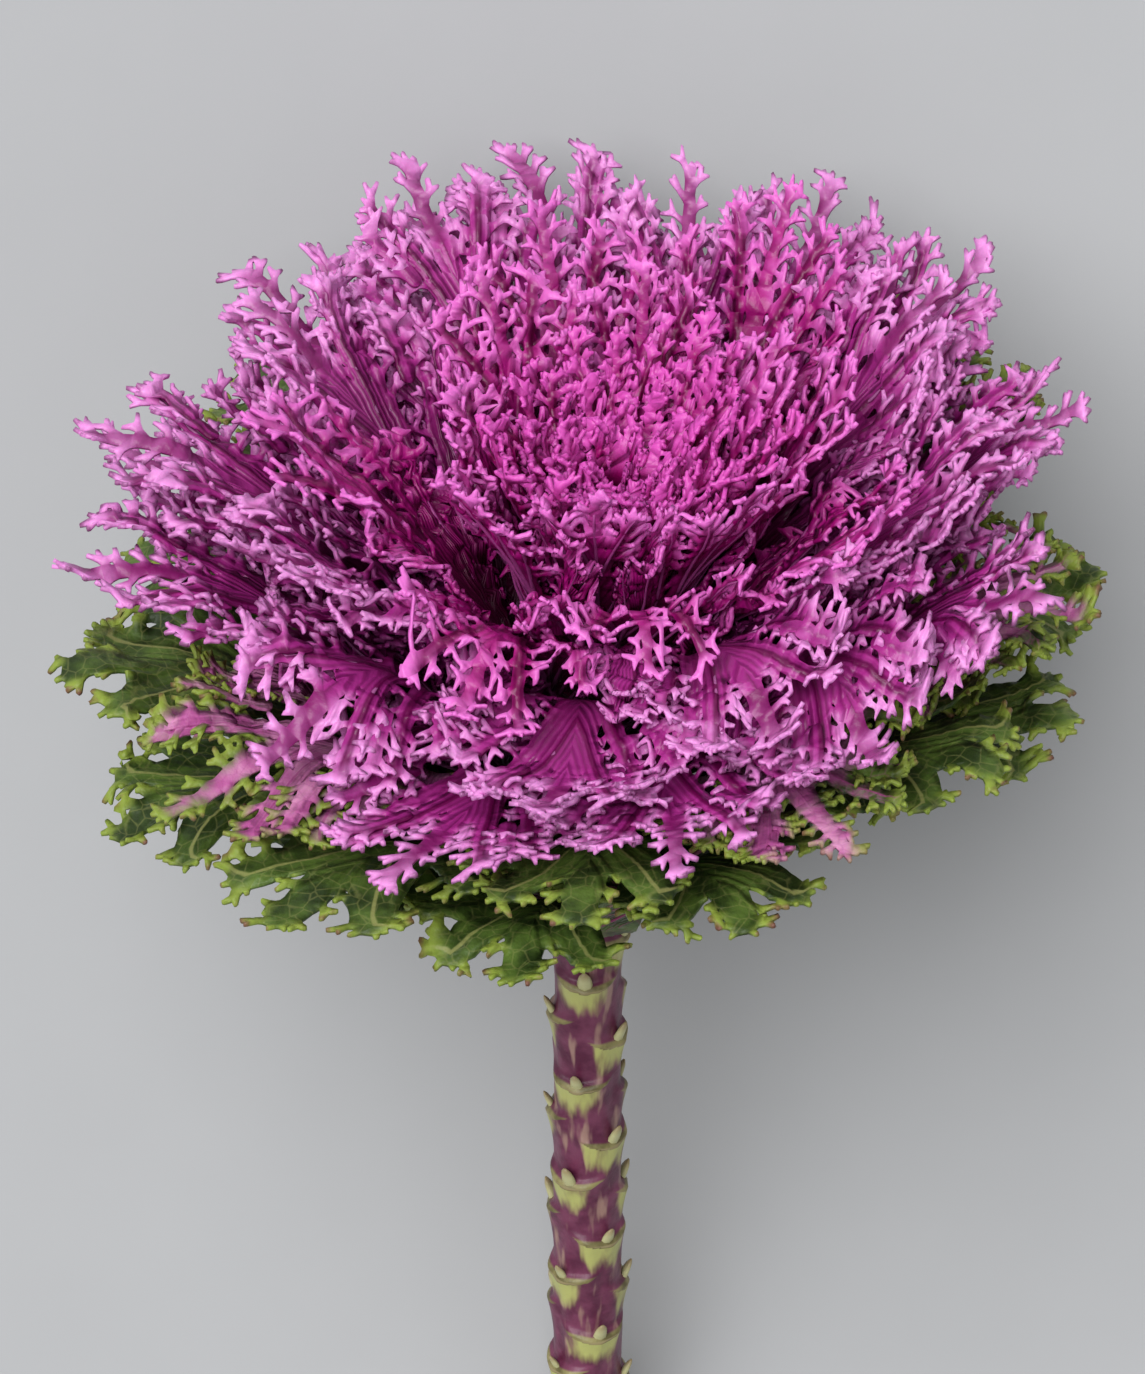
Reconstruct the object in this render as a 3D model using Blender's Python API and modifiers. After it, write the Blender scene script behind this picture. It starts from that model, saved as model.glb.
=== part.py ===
"""A purple ornamental kale: one feathery rosette on its cut stem, lying on a table.

Metres, +Z up, z = 0 is the table, +Y runs from the cut end of the stem to the head.

The plant is worked out in its own coordinates and then laid down. u runs up the stem from the
lowest leaf, r is the distance from the stem's axis, and turn is the angle round it, 0 on the side
that faces up. Every leaf lies on its own bowl-shaped shell round the axis. The shells are nested
in leaf order, so the leaves crowd together without crossing.
"""

import math
import random
from collections import namedtuple

import bmesh
import bpy
from mathutils import Matrix, Vector
from mathutils.geometry import delaunay_2d_cdt

# Stem
STEM_BELOW = 0.170
STEM_TOP = 0.056
STEM_RADIUS = 0.0067
STEM_SIDES = 12
SCAR_FIRST = -0.0042
SCAR_STEP = 0.005
SCAR_TURN = 141.4
SCAR_FIRST_TURN = 72.2
SCAR_LEDGE = 0.0016
SCAR_LIP = 0.0008
SCAR_SMILE = 0.0016
SCAR_WIDTH = 62.0
SCAR_FADE = 2.4 * SCAR_STEP
CUSHION_EDGE = 1.25
LIP_EDGE = 1.3
LIP_CUT = 0.85
BUD_RADIUS = 0.0011
BUD_LENGTH = 0.0048
BUD_POINT = 0.45
BUD_SINK = 0.0002
BUD_FOOT = 0.0006
BUD_LEAN = 0.0016
END_SWELL = 0.10
COLLAR_SWELL, COLLAR_FROM, COLLAR_OVER = 0.10, -0.012, 0.015
HEAD_TAPER, TAPER_FROM, TAPER_OVER = 0.30, 0.020, 0.045

# Head
SEED = 4721
LEAVES = 82
HEART_LEAVES = 26
GOLDEN_TURN = 137.508
FIRST_TURN = 8.0
CORE_BOTTOM = 0.0565
CORE_TOP = 0.086
CORE_RADIUS = 0.0052
CORE_SIDES = 10
CORE_POINT = 0.25
ROOT_GAP = 0.0004
TURN_JITTER = 5.0

# Each leaf's shell is read from this table, by leaf number from the innermost
Station = namedtuple("Station", "leaf root tip_r tip_u lean_root lean_tip half_width")
STATIONS = (
    Station(0, 0.074, 0.007, 0.104, 4, 14, 0.009),
    Station(12, 0.067, 0.019, 0.111, 8, 22, 0.015),
    Station(25, 0.058, 0.031, 0.117, 11, 26, 0.022),
    Station(26, 0.057, 0.033, 0.118, 11, 27, 0.023),
    Station(33, 0.048, 0.045, 0.122, 17, 34, 0.027),
    Station(34, 0.0465, 0.060, 0.121, 19, 43, 0.028),
    Station(47, 0.031, 0.087, 0.118, 34, 64, 0.030),
    Station(58, 0.020, 0.098, 0.102, 42, 79, 0.031),
    Station(66, 0.014, 0.101, 0.083, 49, 90, 0.033),
    Station(74, 0.007, 0.100, 0.066, 55, 99, 0.034),
    Station(81, 0.000, 0.095, 0.053, 60, 106, 0.033),
)
VARIEGATED = (61, 63, 64, 65, 66)
FIRST_GREEN = 67

# Leaf blade
BLADE_THICKNESS = 0.0008
RIB_THICKNESS = 0.0022
PETIOLE_HALF_WIDTH = 0.0028
PETIOLE_SHARE = 0.17
HEART_PETIOLE_SHARE = 0.36
LOBES = 5
HEART_LOBES = 3
FIRST_LOBE = 0.40
LAST_LOBE = 0.88
LOBE_SLANT = 0.11
NOTCH_DEPTH = 0.36
WAVE_HEIGHT = 0.0020
WAVE_WIDTH = 0.033
WAVES = 3.6
MOST_WRAP = 44.0
CURVE_SAMPLES = 32
HANDLE_SHARE = 0.36
NECK_SHARE = 0.7
HEART_PETIOLE_SCALE = 0.6
THINNEST_RIB = 0.15
# A lobe's teeth: how far past its tip, in lobe spacings, and the share of its reach
TEETH = ((-0.24, 0.95), (-0.03, 0.80), (0.26, 1.0))
# The notch on each side of the leaf's end: the share along and the share of the half width
END_NOTCH = ((0.955, 0.30), (0.945, 0.15))

# How the plant leans, and how it lies on the table
HEAD_RADIUS = 0.100
HEAD_LEAN = 0.78
LEFT_REACH = 0.55
HEAD_NOD = 0.15
NOD_FROM, NOD_OVER = 0.020, 0.100
HEAD_SIDE_TILT = 0.06
BEND_LENGTH = 0.040
OPENING = 0.026
OPEN_OUT_FROM, OPEN_OUT_OVER = 0.040, 0.030
OPEN_UP_FROM, OPEN_UP_OVER = 0.055, 0.075
LIE_ANGLE = 19.5
PRESS_HEIGHT = 0.003

STEM_COLOUR = (0.20, 0.06, 0.09)
HEART_COLOUR = (0.42, 0.01, 0.22)
LEAF_COLOURS = {
    "purple": (0.50, 0.07, 0.36),
    "variegated": (0.42, 0.20, 0.33),
    "green": (0.07, 0.16, 0.03),
}


def smooth(share):
    """Rises from 0 to 1 with level ends."""
    share = min(1.0, max(0.0, share))
    return share * share * (3.0 - 2.0 * share)


def stem_radius(u):
    """The stem's own radius, thicker at the cut end and tapering inside the head."""
    below = 1.0 + END_SWELL * smooth(-u / STEM_BELOW)
    swell = COLLAR_SWELL * smooth((u - COLLAR_FROM) / COLLAR_OVER)
    taper = HEAD_TAPER * smooth((u - TAPER_FROM) / TAPER_OVER)
    return STEM_RADIUS * (below + swell - taper)


def lay_down(x, u, v):
    """A point across, up and out of the plant, in the world: bent, laid on its back and pressed."""
    inner = max(0.0, 1.0 - (x * x + v * v) / HEAD_RADIUS ** 2)
    left = smooth(-x / HEAD_RADIUS)
    across = x + (HEAD_LEAN * inner - LEFT_REACH * left) * max(0.0, u) ** 2
    tilt = smooth(u / BEND_LENGTH) * HEAD_SIDE_TILT * x
    nod = smooth((u - NOD_FROM) / NOD_OVER) * HEAD_NOD * v
    opened = smooth((v - OPEN_OUT_FROM) / OPEN_OUT_OVER) * smooth((u - OPEN_UP_FROM) / OPEN_UP_OVER)
    up = u + tilt - nod - OPENING * opened
    angle = math.radians(LIE_ANGLE)
    end_rest = STEM_BELOW * math.sin(angle) + stem_radius(-STEM_BELOW) * math.cos(angle)
    y = up * math.cos(angle) - v * math.sin(angle)
    z = up * math.sin(angle) + v * math.cos(angle) + end_rest
    if z < PRESS_HEIGHT:
        z = PRESS_HEIGHT * math.exp((z - PRESS_HEIGHT) / PRESS_HEIGHT)
    return Vector((across, y, z))


def around(r, u, turn):
    """The world point at a radius, a height and a turn in degrees about the stem."""
    angle = math.radians(turn)
    return lay_down(r * math.sin(angle), u, r * math.cos(angle))


class Leaf:
    """One leaf's place in the rosette, its midrib and the shell that it lies on."""

    def __init__(self, number):
        draw = random.Random(SEED + number)
        place = self.station(number)
        self.number = number
        self.petiole_share = HEART_PETIOLE_SHARE if number < HEART_LEAVES else PETIOLE_SHARE
        self.turn = FIRST_TURN + number * GOLDEN_TURN + draw.uniform(-TURN_JITTER, TURN_JITTER)
        self.half_width = place.half_width * draw.uniform(0.92, 1.08)
        self.reach = draw.uniform(0.94, 1.03)
        self.phase = draw.uniform(0.0, 2.0 * math.pi)
        self.sweep = draw.uniform(-6.0, 6.0)
        self.midrib = self.midrib_points(place)
        self.length = sum(math.dist(a, b) for a, b in zip(self.midrib, self.midrib[1:]))

    @staticmethod
    def station(number):
        """The table's values between its rows."""
        upper = next(i for i, s in enumerate(STATIONS) if s.leaf >= number and i > 0)
        low, high = STATIONS[upper - 1], STATIONS[upper]
        share = (number - low.leaf) / (high.leaf - low.leaf)
        return Station(*(a + (b - a) * share for a, b in zip(low, high)))

    def midrib_points(self, place):
        """The midrib as (r, u) points along a Bezier curve from the stem to the tip."""
        root_r = ROOT_GAP + RIB_THICKNESS / 2
        root_r += CORE_RADIUS * 0.5 if self.number < HEART_LEAVES else stem_radius(place.root)
        root, tip = Vector((root_r, place.root)), Vector((place.tip_r, place.tip_u))
        handle = HANDLE_SHARE * (tip - root).length
        lean_root, lean_tip = math.radians(place.lean_root), math.radians(place.lean_tip)
        controls = (
            root,
            root + handle * Vector((math.sin(lean_root), math.cos(lean_root))),
            tip - handle * Vector((math.sin(lean_tip), math.cos(lean_tip))),
            tip,
        )
        points = []
        for i in range(CURVE_SAMPLES + 1):
            t = i / CURVE_SAMPLES
            shares = ((1 - t) ** 3, 3 * t * (1 - t) ** 2, 3 * t * t * (1 - t), t ** 3)
            points.append(sum((c * s for c, s in zip(controls, shares)), Vector((0, 0))))
        return points

    def shell(self, along):
        """(r, u) of the midrib and its unit normal towards the axis, at a share of its length."""
        place = min(max(along, 0.0), 0.9999) * CURVE_SAMPLES
        low = int(place)
        step = self.midrib[low + 1] - self.midrib[low]
        point = self.midrib[low] + step * (place - low)
        if along > 1.0:
            point = point + step * ((along - 1.0) * CURVE_SAMPLES)
        return point, Vector((-step.y, step.x)).normalized()

    def world(self, along, across, lift):
        """The world point of a flat leaf point: share along, metres across and metres lifted."""
        point, normal = self.shell(along)
        point = point + normal * lift
        turn = self.turn + self.sweep * along * along
        wrap = math.degrees(across / max(point.x, 0.004))
        return around(point.x, point.y, turn + MOST_WRAP * math.tanh(wrap / MOST_WRAP))


def envelope(leaf, along):
    """Half the blade's overall width at a share of the leaf's length."""
    if along < leaf.petiole_share:
        return PETIOLE_HALF_WIDTH
    share = (along - leaf.petiole_share) / (1.02 - leaf.petiole_share)
    rounded = math.sin(math.pi * min(1.0, share) ** 1.25) ** 0.6
    return max(PETIOLE_HALF_WIDTH, leaf.half_width * rounded)


def lobe_tips(lobes):
    """Where the side lobes end, as shares of the leaf's length."""
    return [FIRST_LOBE + (LAST_LOBE - FIRST_LOBE) * k / (lobes - 1) for k in range(lobes)]


def rib_shares(lobes):
    """Points along the midrib that the blade folds at, as shares of the leaf's length."""
    return [0.0, PETIOLE_SHARE] + [tip - LOBE_SLANT for tip in lobe_tips(lobes)[1:]]


def half_outline(leaf, lobes):
    """One side of the cut outline from the root to beside the tip, as (share along, across)."""
    petiole = PETIOLE_HALF_WIDTH * (HEART_PETIOLE_SCALE if lobes == HEART_LOBES else 1.0)
    tips = lobe_tips(lobes)
    spacing = tips[1] - tips[0]
    neck, narrow = leaf.petiole_share, NECK_SHARE * petiole
    points = [(0.0, petiole), (neck, narrow)]
    if lobes != HEART_LOBES:
        points.append(((neck + tips[0]) / 2, (narrow + envelope(leaf, tips[0])) / 2))
    for k, tip in enumerate(tips):
        reach = envelope(leaf, tip)
        if k == 0 or lobes == HEART_LOBES:
            points.append((tip, reach))
        else:
            points.extend((tip + past * spacing, share * reach) for past, share in TEETH)
        notch = tip + 0.5 * spacing - 0.6 * LOBE_SLANT
        points.append((notch, NOTCH_DEPTH * envelope(leaf, tip + 0.5 * spacing)))
    if lobes != HEART_LOBES:
        points.extend((along, share * leaf.half_width) for along, share in END_NOTCH)
    return points


def outline(leaf, lobes):
    """The whole closed outline, drawn out to the leaf's own reach, as (metres along, across)."""
    side = half_outline(leaf, lobes)
    other = [(along, -across) for along, across in reversed(side)]
    ring = side + [(1.0, 0.0)] + other
    return [(along * leaf.reach * leaf.length, across) for along, across in ring]


def wave(leaf, along, across):
    """How far the blade's margin waves off its shell."""
    edge = (abs(across) / leaf.half_width) ** 1.5 * leaf.half_width / WAVE_WIDTH
    side = 1.0 if across >= 0 else -1.0
    ripple = math.sin(2.0 * math.pi * WAVES * along + leaf.phase + side)
    return WAVE_HEIGHT * min(1.0, edge) * ripple


def leaf_mesh(leaf, lobes):
    """The leaf's middle surface in the world, as a bmesh with a vertex weight for the rib."""
    ring = outline(leaf, lobes)
    ribs = [(share * leaf.reach * leaf.length, 0.0) for share in rib_shares(lobes)]
    flat = [Vector(point) for point in ring + ribs]
    chain = [(len(ring) + i, len(ring) + i + 1) for i in range(len(ribs) - 1)]
    points, _, faces, *_ = delaunay_2d_cdt(flat, chain, [list(range(len(ring)))], 1, 1e-6)
    mesh = bmesh.new()
    weights = mesh.verts.layers.deform.new()
    for point in points:
        along = point.x / leaf.length
        vert = mesh.verts.new(leaf.world(along, point.y, wave(leaf, along, point.y)))
        inner = max(0.0, 1.0 - abs(point.y) / PETIOLE_HALF_WIDTH)
        vert[weights][0] = inner * max(THINNEST_RIB, 1.0 - along)
    verts = list(mesh.verts)
    for face in faces:
        mesh.faces.new([verts[i] for i in face])
    bmesh.ops.recalc_face_normals(mesh, faces=mesh.faces)
    return mesh


def material(name, colour, roughness):
    """A Principled material of one colour."""
    made = bpy.data.materials.new(name)
    made.use_nodes = True
    shader = made.node_tree.nodes["Principled BSDF"]
    shader.inputs["Base Color"].default_value = (*colour, 1.0)
    shader.inputs["Roughness"].default_value = roughness
    shader.inputs["Metallic"].default_value = 0.0
    return made


def add_object(name, mesh, origin, finish, collection):
    """Turns a bmesh in world coordinates into an object with its origin at a chosen point."""
    data = bpy.data.meshes.new(name)
    bmesh.ops.translate(mesh, verts=mesh.verts, vec=-origin)
    mesh.to_mesh(data)
    mesh.free()
    data.materials.append(finish)
    made = bpy.data.objects.new(name, data)
    made.location = origin
    collection.objects.link(made)
    return made


def add_leaf(name, leaf, lobes, finish, collection):
    """One leaf as a thin blade that is thicker along its rib."""
    root = leaf.world(0.0, 0.0, 0.0)
    made = add_object(name, leaf_mesh(leaf, lobes), root, finish, collection)
    made.vertex_groups.new(name="rib")
    skin = made.modifiers.new("thickness", "SOLIDIFY")
    skin.thickness = RIB_THICKNESS
    skin.offset = 0.0
    skin.vertex_group = "rib"
    skin.thickness_vertex_group = BLADE_THICKNESS / RIB_THICKNESS
    return made


def scar_places():
    """(height, turn in degrees) of each leaf scar down the bare stem."""
    count = int((STEM_BELOW - 0.006 + SCAR_FIRST) / SCAR_STEP) + 1
    return [(SCAR_FIRST - SCAR_STEP * k, SCAR_FIRST_TURN + SCAR_TURN * k) for k in range(count)]


def turned_from(turn, centre):
    """The signed angle in degrees from centre to turn."""
    return (turn - centre + 180.0) % 360.0 - 180.0


def scar_swell(u, turn):
    """How far the leaf cushions below the scars stand out of the stem."""
    swell = 0.0
    for height, centre in scar_places():
        below = height - u
        if -1e-6 <= below < SCAR_FADE:
            side = abs(turned_from(turn, centre)) / SCAR_WIDTH
            fade = (1.0 - below / SCAR_FADE) ** 2
            swell = max(swell, SCAR_LEDGE * fade * smooth(CUSHION_EDGE - side))
    return swell


def stem_ring(mesh, u, centre, ledge):
    """One ring of the stem. Round a scar it dips at the middle, and ledge is the swell there."""
    ring = []
    for side in range(STEM_SIDES):
        turn = 360.0 * side / STEM_SIDES
        rise = 0.0
        out = scar_swell(u, turn)
        if centre is not None:
            away = turned_from(turn, centre)
            rise = SCAR_SMILE * (1.0 - math.cos(math.radians(away)))
            if not ledge:
                out *= 1.0 - LIP_CUT * smooth(LIP_EDGE - abs(away) / SCAR_WIDTH)
        ring.append(mesh.verts.new(around(stem_radius(u) + out, u + rise, turn)))
    return ring


def stem_mesh():
    """The stem as rings from the cut end to its top inside the head."""
    mesh = bmesh.new()
    rings = [stem_ring(mesh, -STEM_BELOW, None, False)]
    for height, centre in reversed(scar_places()):
        rings.append(stem_ring(mesh, height, centre, True))
        rings.append(stem_ring(mesh, height + SCAR_LIP, centre, False))
    for share in (0.12, 0.4, 0.7, 1.0):
        rings.append(stem_ring(mesh, STEM_TOP * share, None, False))
    for low, high in zip(rings, rings[1:]):
        for i in range(STEM_SIDES):
            j = (i + 1) % STEM_SIDES
            mesh.faces.new((low[i], low[j], high[j], high[i]))
    mesh.faces.new(list(reversed(rings[0])))
    mesh.faces.new(rings[-1])
    bmesh.ops.recalc_face_normals(mesh, faces=mesh.faces)
    return mesh


def bud_mesh(height, centre):
    """A bud stub that stands on a scar's ledge, its foot sunk in the stem."""
    mesh = bmesh.new()
    bmesh.ops.create_cone(
        mesh,
        cap_ends=True,
        segments=4,
        radius1=BUD_RADIUS,
        radius2=BUD_RADIUS * BUD_POINT,
        depth=BUD_LENGTH,
    )
    foot = around(stem_radius(height) - BUD_SINK, height - BUD_FOOT, centre)
    head = around(stem_radius(height) + BUD_LEAN, height + BUD_LENGTH - BUD_FOOT, centre)
    axis = head - foot
    turned = axis.to_track_quat("Z", "Y").to_matrix().to_4x4()
    bmesh.ops.transform(mesh, verts=mesh.verts, matrix=turned)
    bmesh.ops.translate(mesh, verts=mesh.verts, vec=foot + axis * 0.5)
    return mesh


def join_into(base, pieces_collection):
    """Joins every object of a collection into base with one union, then removes them."""
    union = base.modifiers.new("union", "BOOLEAN")
    union.operation = "UNION"
    union.operand_type = "COLLECTION"
    union.collection = pieces_collection
    union.solver = "MANIFOLD"
    graph = bpy.context.evaluated_depsgraph_get()
    joined = bpy.data.meshes.new_from_object(base.evaluated_get(graph), depsgraph=graph)
    base.modifiers.clear()
    base.data = joined
    for piece in list(pieces_collection.objects):
        bpy.data.objects.remove(piece)
    bpy.data.collections.remove(pieces_collection)
    keep_largest_shell(joined)


def keep_largest_shell(mesh_data):
    """Fills the hollows that the union sealed and drops loose scraps: the outer shell stays."""
    mesh = bmesh.new()
    mesh.from_mesh(mesh_data)
    unseen, shells = set(mesh.verts), []
    while unseen:
        front, shell = [unseen.pop()], set()
        while front:
            vert = front.pop()
            shell.add(vert)
            near = {edge.other_vert(vert) for edge in vert.link_edges} & unseen
            unseen -= near
            front.extend(near)
        shells.append(shell)
    largest = max(shells, key=len)
    scraps = [vert for vert in mesh.verts if vert not in largest]
    bmesh.ops.delete(mesh, geom=scraps, context="VERTS")
    mesh.to_mesh(mesh_data)
    mesh.free()


def helper_collection(name):
    """A collection for pieces that a union uses up."""
    made = bpy.data.collections.new(name)
    bpy.context.scene.collection.children.link(made)
    return made


def add_stem(collection):
    """The stem with its bud stubs joined on."""
    finish = material("stem_skin", STEM_COLOUR, 0.45)
    cut_end = around(0.0, -STEM_BELOW, 0.0)
    stem = add_object("stem", stem_mesh(), cut_end, finish, collection)
    buds = helper_collection("stem_buds")
    for height, centre in scar_places():
        add_object("bud", bud_mesh(height, centre), Vector((0, 0, 0)), finish, buds)
    join_into(stem, buds)
    return stem


def core_mesh():
    """The growing tip that the heart's leaves stand on: a blunt cone of rings."""
    mesh = bmesh.new()
    bmesh.ops.create_cone(
        mesh, cap_ends=True, segments=CORE_SIDES, radius1=1.0, radius2=CORE_POINT, depth=1.0
    )
    for vert in mesh.verts:
        r = CORE_RADIUS * math.hypot(vert.co.x, vert.co.y)
        u = CORE_BOTTOM + (CORE_TOP - CORE_BOTTOM) * (vert.co.z + 0.5)
        vert.co = around(r, u, math.degrees(math.atan2(vert.co.x, vert.co.y)))
    return mesh


def add_heart(collection):
    """The packed centre: small leaves rooted in the growing tip, joined as one body."""
    finish = material("heart_leaf", HEART_COLOUR, 0.5)
    tip = around(0.0, CORE_TOP, 0.0)
    heart = add_object("heart", core_mesh(), tip, finish, collection)
    blades = helper_collection("heart_blades")
    for number in range(HEART_LEAVES):
        add_leaf("blade", Leaf(number), HEART_LOBES, finish, blades)
    join_into(heart, blades)
    return heart


def leaf_kind(number):
    """The colour that names an outer leaf."""
    if number >= FIRST_GREEN:
        return "green"
    return "variegated" if number in VARIEGATED else "purple"


def add_outer_leaves(collection):
    """Every leaf outside the heart, each one its own object named for its colour."""
    finishes = {kind: material(kind + "_leaf", colour, 0.5) for kind, colour in LEAF_COLOURS.items()}
    counts = dict.fromkeys(LEAF_COLOURS, 0)
    for number in range(HEART_LEAVES, LEAVES):
        kind = leaf_kind(number)
        counts[kind] += 1
        name = f"{kind}_leaf_{counts[kind]:02d}"
        add_leaf(name, Leaf(number), LOBES, finishes[kind], collection)


def stand_on_origin(collection):
    """Parents the kale to an empty that puts the middle of its footprint at the origin."""
    graph = bpy.context.evaluated_depsgraph_get()
    low, high = Vector((9, 9, 9)), Vector((-9, -9, -9))
    for part in collection.objects:
        seen = part.evaluated_get(graph)
        for vert in seen.data.vertices:
            point = seen.matrix_world @ vert.co
            low = Vector(map(min, low, point))
            high = Vector(map(max, high, point))
    base = bpy.data.objects.new("kale", None)
    collection.objects.link(base)
    base.location = (-(low.x + high.x) / 2, -(low.y + high.y) / 2, -low.z)
    for part in collection.objects:
        if part is not base:
            part.parent = base
            part.matrix_parent_inverse = Matrix.Identity(4)


def main():
    for old in list(bpy.data.objects):
        bpy.data.objects.remove(old)
    collection = bpy.data.collections.new("purple_kale")
    bpy.context.scene.collection.children.link(collection)
    add_stem(collection)
    add_heart(collection)
    add_outer_leaves(collection)
    bpy.context.view_layer.update()
    stand_on_origin(collection)


main()
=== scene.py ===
"""The looks of a purple ornamental kale that lies on a pale table.

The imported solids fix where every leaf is. Each one is replaced by a fine leaf on the same shell:
a midrib, side ribs and forked fingers are grown as capsules on the flat leaf, their outline is
traced and triangulated, and the flat leaf is then bent on to its shell and ruffled.

Lengths are metres. u, r and turn are the plant's own coordinates: up the stem from the lowest
leaf, out from the stem's axis, and round it, with turn 0 on the side that faces up.
"""

import math
import random

import bmesh
import bpy
import numpy as np
from mathutils import Matrix, Vector
from mathutils.geometry import delaunay_2d_cdt


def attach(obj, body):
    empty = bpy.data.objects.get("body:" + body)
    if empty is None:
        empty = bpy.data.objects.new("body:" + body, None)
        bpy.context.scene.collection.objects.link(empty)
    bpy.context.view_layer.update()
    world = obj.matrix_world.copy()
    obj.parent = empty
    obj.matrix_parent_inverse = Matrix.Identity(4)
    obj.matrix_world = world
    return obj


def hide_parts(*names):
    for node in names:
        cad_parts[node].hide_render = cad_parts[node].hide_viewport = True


# The plant, with the same values as its solids
STEM_BELOW = 0.170
STEM_TOP = 0.056
STEM_RADIUS = 0.0067
STEM_SIDES = 12
SCAR_FIRST = -0.0042
SCAR_STEP = 0.005
SCAR_TURN = 141.4
SCAR_FIRST_TURN = 72.2
SCAR_LEDGE = 0.0016
SCAR_WIDTH = 62.0
SCAR_FADE = 2.4 * SCAR_STEP
END_SWELL = 0.10
COLLAR_SWELL, COLLAR_FROM, COLLAR_OVER = 0.10, 0.012, 0.015
HEAD_TAPER, TAPER_FROM, TAPER_OVER = 0.30, 0.020, 0.045

SEED = 4721
LEAVES = 82
HEART_LEAVES = 26
VARIEGATED = (61, 63, 64, 65, 66)
FIRST_GREEN = 67
GOLDEN_TURN = 137.508
FIRST_TURN = 8.0
CORE_RADIUS = 0.0052
ROOT_GAP = 0.0004
STATIONS = np.array((
    # leaf, root, tip_r, tip_u, lean_root, lean_tip, half_width
    (0, 0.074, 0.007, 0.104, 4, 14, 0.009),
    (12, 0.067, 0.019, 0.111, 8, 22, 0.015),
    (25, 0.058, 0.031, 0.117, 11, 26, 0.022),
    (26, 0.057, 0.033, 0.118, 11, 27, 0.023),
    (33, 0.048, 0.045, 0.122, 17, 34, 0.027),
    (34, 0.0465, 0.060, 0.121, 19, 43, 0.028),
    (47, 0.031, 0.087, 0.118, 34, 64, 0.030),
    (58, 0.020, 0.098, 0.102, 42, 79, 0.031),
    (66, 0.014, 0.101, 0.083, 49, 90, 0.033),
    (74, 0.007, 0.100, 0.066, 55, 99, 0.034),
    (81, 0.000, 0.095, 0.053, 60, 106, 0.033),
))
RIB_THICKNESS = 0.0022
PETIOLE_SHARE = 0.17
HEART_PETIOLE_SHARE = 0.36
MOST_WRAP = 44.0
NEAREST_WRAP = 0.004
CURVE_SAMPLES = 32
HANDLE_SHARE = 0.36
TURN_JITTER = 5.0

HEAD_RADIUS = 0.100
HEAD_LEAN = 0.78
LEFT_REACH = 0.55
HEAD_NOD = 0.15
NOD_FROM, NOD_OVER = 0.020, 0.100
HEAD_SIDE_TILT = 0.06
BEND_LENGTH = 0.040
OPENING = 0.026
OPEN_OUT_FROM, OPEN_OUT_OVER = 0.040, 0.030
OPEN_UP_FROM, OPEN_UP_OVER = 0.055, 0.075
LIE_ANGLE = 19.5
PRESS_HEIGHT = 0.003

# Tracing a flat leaf: the grid, how softly capsules merge, the outline's edges and the lattice
CELL = 0.00034
SOFT = 0.00016
BLUR_PASSES = 8
SHORTEST_EDGE, LONGEST_EDGE, EDGE_TURN = 0.00032, 0.0015, 0.32
LATTICE_CELLS = 6
LATTICE_INSET = 0.0010

# The blade: its thickness at the base and towards the tips, its waves, and a little more length
# on the side that faces away from the camera
BLADE_THICKNESS = 0.00062
THIN_SHARE, TIP_THICKENING = 0.85, 0.45
RUFFLE = 0.0050
RUFFLE_LENGTH = 0.024
RUFFLED_WIDTH = 0.033
RUFFLED_FROM = 0.72
MIDRIB_CALM = 0.020
FAR_REACH = 0.035
FAR_TURN = 140.0

# Half widths of the ribs on the back of a leaf, and how far the midrib runs on into the stem
MIDRIB_RADII = (0.0015, 0.0003)
SIDE_RIB_RADII = (0.00060, 0.00025)
MIDRIB_POINTS = 28
PETIOLE_FOOT = 0.0026

# The skeleton of a flat leaf: its size, where the lobes end, how far those of the other side and
# of the frill are shifted in ribs, and how they lift off the blade
SKELETON_SEED = 9000
SIZE_BASE, SIZE_GAIN, FULL_WIDTH = 0.45, 0.55, 0.030
FIRST_LOBE_END, LAST_LOBE_END = 0.38, 0.95
SIDE_SHIFT, FRILL_SHIFT = 0.35, 0.5
RIB_POINTS = 9
FRILL_FROM = 5
PETIOLE_HALF_WIDTH = 0.0021
MIDRIB_STEPS = 16
TIP_BRANCHES_FROM = 12
FAN_LIFT = 0.0024
FRILL_LIFT, FRILL_LIFT_MORE = 0.0012, 0.0022
LOBE_WOBBLE = 0.0012

# Branches and the forks of fingers at their ends, as ranges, with angles in degrees
BRANCH_ANGLE = (34.0, 56.0)
BRANCH_VARY = (0.75, 1.2)
BRANCH_RISE = (-0.0010, 0.0022)
FINGER_VARY = (0.7, 1.2)
FINGER_RISE = (-0.0008, 0.0014)
FORK_REACH = 0.66
PAIR_SPREAD, FAN_SPREAD, SPREAD_VARY = 62.0, 44.0, 12.0
WIDE_LOBE = 0.002

# The fine stem: the scars' curve and faces, the keel and green patch below each, and its buds
FINE_SMILE = 0.0040
SCAR_FACE = 0.0020
KEEL, KEEL_WIDTH = 0.0004, 8.0
PATCH_LENGTH, PATCH_WIDTH, PATCH_SHIFT = 0.0105, 42.0, 10.0
FINE_RINGS, FINE_SIDES = 680, 72
FLUTE, FLUTES = 0.00010, 9.0
BUD_SIDES, BUD_RINGS = 8, 7
BUD_RADIUS, BUD_LENGTH = 0.0017, 0.0056
BUD_SINK, BUD_LEAN = 0.0010, 0.0024

# How much of each variegated leaf is pink, and how fine the net of veins on green leaves is
PINKNESS = {61: 0.10, 63: 0.55, 64: 0.40, 65: 0.90, 66: 0.80}
NET_SCALE = 310.0

# The camera looks down on the lying plant as the photograph looks at the standing one
VIEW_RISE = 32.0
VIEW_DISTANCE = 1.10
IMAGE_WIDTH, IMAGE_HEIGHT = 1145, 1374
PIXELS_PER_METRE = 4950.0
COLLAR_PIXEL = (588, 912)

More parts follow.
